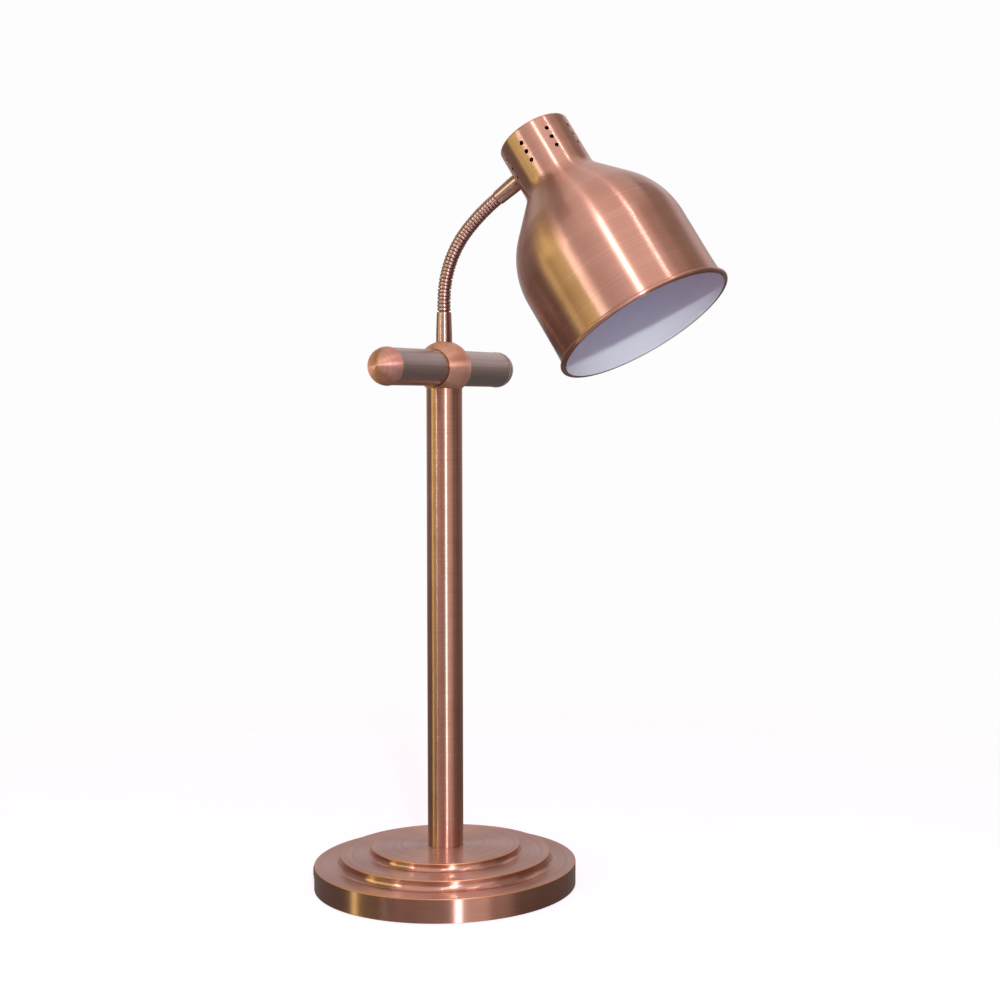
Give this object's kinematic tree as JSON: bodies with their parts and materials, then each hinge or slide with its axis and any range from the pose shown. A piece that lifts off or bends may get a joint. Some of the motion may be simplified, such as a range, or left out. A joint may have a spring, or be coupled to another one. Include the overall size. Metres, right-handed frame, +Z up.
{
  "type": "food warming lamp",
  "caption": "Free-standing food warming lamp: stepped round base, tube post, ball hub with cross tube, gooseneck and copper bell shade with vented neck.",
  "frame": {"origin": "centre of the foot pad's underside, on the table under the post", "axes": "+Z up the post, +X the way the gooseneck and shade lean, cross tube along Y"},
  "size_m": [0.4601, 0.28, 0.8113],
  "materials": {
    "shade_copper": "antique copper plate, brushed round the shade, clear lacquer outside, white enamel inside",
    "base_copper": "antique copper plate, brushed in rings, clear lacquer",
    "tube_copper": "antique copper plate, fine brushed, clear lacquer",
    "cross_tube_bronze": "darkened bronze plate, brushed lengthwise",
    "cap_copper": "polished copper plate",
    "hub_copper": "satin copper plate",
    "ferrule_copper": "polished copper plate",
    "gooseneck_copper": "copper plated wound strip",
    "iron": "cast, dark paint",
    "plate_steel": "black paint",
    "zinc_steel": "zinc plated",
    "pad_rubber": "foam rubber sheet",
    "white_plastic": "moulded",
    "lead_sheath": "round sheath",
    "black_plastic": "moulded nylon",
    "rocker_plastic": "moulded",
    "porcelain": "white glaze",
    "contact_brass": "stamped",
    "cap_brass": "rolled thread",
    "bulb_glass": "frosted front, mirrored back",
    "filament_wire": "drawn wire"
  },
  "bodies": {
    "stand": {"base_shell": "base_copper", "base_weight": "iron", "base_cover": "plate_steel", "cover_screws": "zinc_steel", "foot_pad": "pad_rubber", "base_washer": "zinc_steel", "base_nut": "zinc_steel", "base_nipple": "zinc_steel", "post_foot_plug": "zinc_steel", "post_tube": "tube_copper", "ball_hub": "hub_copper", "cross_tube": "cross_tube_bronze", "tube_cap_near": "cap_copper", "tube_cap_far": "cap_copper", "hub_grub_screw": "zinc_steel", "cross_tube_grub_screw": "zinc_steel", "lower_ferrule": "ferrule_copper", "terminal_block": "white_plastic", "inner_lead": "lead_sheath", "cable_inlet": "black_plastic", "inlet_nut": "black_plastic", "switch_housing": "black_plastic"},
    "neck_link_01": {"neck_link_01": "gooseneck_copper"},
    "neck_link_02": {"neck_link_02": "gooseneck_copper"},
    "neck_link_03": {"neck_link_03": "gooseneck_copper"},
    "neck_link_04": {"neck_link_04": "gooseneck_copper"},
    "neck_link_05": {"neck_link_05": "gooseneck_copper"},
    "neck_link_06": {"neck_link_06": "gooseneck_copper"},
    "neck_link_07": {"neck_link_07": "gooseneck_copper"},
    "neck_link_08": {"neck_link_08": "gooseneck_copper"},
    "neck_link_09": {"neck_link_09": "gooseneck_copper"},
    "neck_link_10": {"neck_link_10": "gooseneck_copper"},
    "neck_link_11": {"neck_link_11": "gooseneck_copper"},
    "neck_link_12": {"neck_link_12": "gooseneck_copper"},
    "head": {"upper_ferrule": "ferrule_copper", "shade": "shade_copper", "socket_bracket": "zinc_steel", "neck_nut": "zinc_steel", "lamp_socket": "porcelain", "socket_screws": "zinc_steel", "socket_sleeve": "contact_brass", "socket_contact": "contact_brass", "bulb_cap": "cap_brass", "bulb_glass": "bulb_glass", "bulb_filament": "filament_wire", "head_lead": "lead_sheath"},
    "rocker": {"switch_rocker": "rocker_plastic"}
  },
  "joints": [
    {"name": "neck_bend_01", "type": "hinge", "parent": "stand", "child": "neck_link_01", "pos_m": [0, 0, 0.61481], "axis": [0, 1, 0], "range_deg": [-8.1, 4.8]},
    {"name": "neck_sway_02", "type": "hinge", "parent": "neck_link_01", "child": "neck_link_02", "pos_m": [0, 0, 0.62642], "axis": [0.9995, 0, -0.0313], "range_deg": [-7, 7]},
    {"name": "neck_bend_03", "type": "hinge", "parent": "neck_link_02", "child": "neck_link_03", "pos_m": [0.00072, 0, 0.63801], "axis": [0, 1, 0], "range_deg": [-8.1, 4.8]},
    {"name": "neck_sway_04", "type": "hinge", "parent": "neck_link_03", "child": "neck_link_04", "pos_m": [0.00271, 0, 0.64944], "axis": [0.9743, 0, -0.2252], "range_deg": [-7, 7]},
    {"name": "neck_bend_05", "type": "hinge", "parent": "neck_link_04", "child": "neck_link_05", "pos_m": [0.00595, 0, 0.6606], "axis": [0, 1, 0], "range_deg": [-8.1, 4.8]},
    {"name": "neck_sway_06", "type": "hinge", "parent": "neck_link_05", "child": "neck_link_06", "pos_m": [0.01038, 0, 0.67132], "axis": [0.9019, 0, -0.4319], "range_deg": [-7, 7]},
    {"name": "neck_bend_07", "type": "hinge", "parent": "neck_link_06", "child": "neck_link_07", "pos_m": [0.01596, 0, 0.68151], "axis": [0, 1, 0], "range_deg": [-8.1, 4.8]},
    {"name": "neck_sway_08", "type": "hinge", "parent": "neck_link_07", "child": "neck_link_08", "pos_m": [0.02262, 0, 0.69101], "axis": [0.7863, 0, -0.6179], "range_deg": [-7, 7]},
    {"name": "neck_bend_09", "type": "hinge", "parent": "neck_link_08", "child": "neck_link_09", "pos_m": [0.03029, 0, 0.69973], "axis": [0, 1, 0], "range_deg": [-8.1, 4.8]},
    {"name": "neck_sway_10", "type": "hinge", "parent": "neck_link_09", "child": "neck_link_10", "pos_m": [0.03859, 0, 0.70785], "axis": [0.6794, 0, -0.7338], "range_deg": [-7, 7]},
    {"name": "neck_bend_11", "type": "hinge", "parent": "neck_link_10", "child": "neck_link_11", "pos_m": [0.04732, 0, 0.7155], "axis": [0, 1, 0], "range_deg": [-8.1, 4.8]},
    {"name": "neck_sway_12", "type": "hinge", "parent": "neck_link_11", "child": "neck_link_12", "pos_m": [0.05645, 0, 0.72267], "axis": [0.5953, 0, -0.8035], "range_deg": [-7, 7]},
    {"name": "neck_bend_13", "type": "hinge", "parent": "neck_link_12", "child": "head", "pos_m": [0.06597, 0, 0.72932], "axis": [0, 1, 0], "range_deg": [-8.1, 4.8]},
    {"name": "power_rocker", "type": "hinge", "parent": "stand", "child": "rocker", "pos_m": [-0.1279, -0.05694, 0.013], "axis": [0, 0, 1], "range_deg": [-12, 0]}
  ],
  "couplings": [
    {"joint": "neck_bend_03", "follows": "neck_bend_01", "ratio": 1},
    {"joint": "neck_bend_05", "follows": "neck_bend_01", "ratio": 1},
    {"joint": "neck_bend_07", "follows": "neck_bend_01", "ratio": 1},
    {"joint": "neck_bend_09", "follows": "neck_bend_01", "ratio": 1},
    {"joint": "neck_bend_11", "follows": "neck_bend_01", "ratio": 1},
    {"joint": "neck_bend_13", "follows": "neck_bend_01", "ratio": 1}
  ]
}
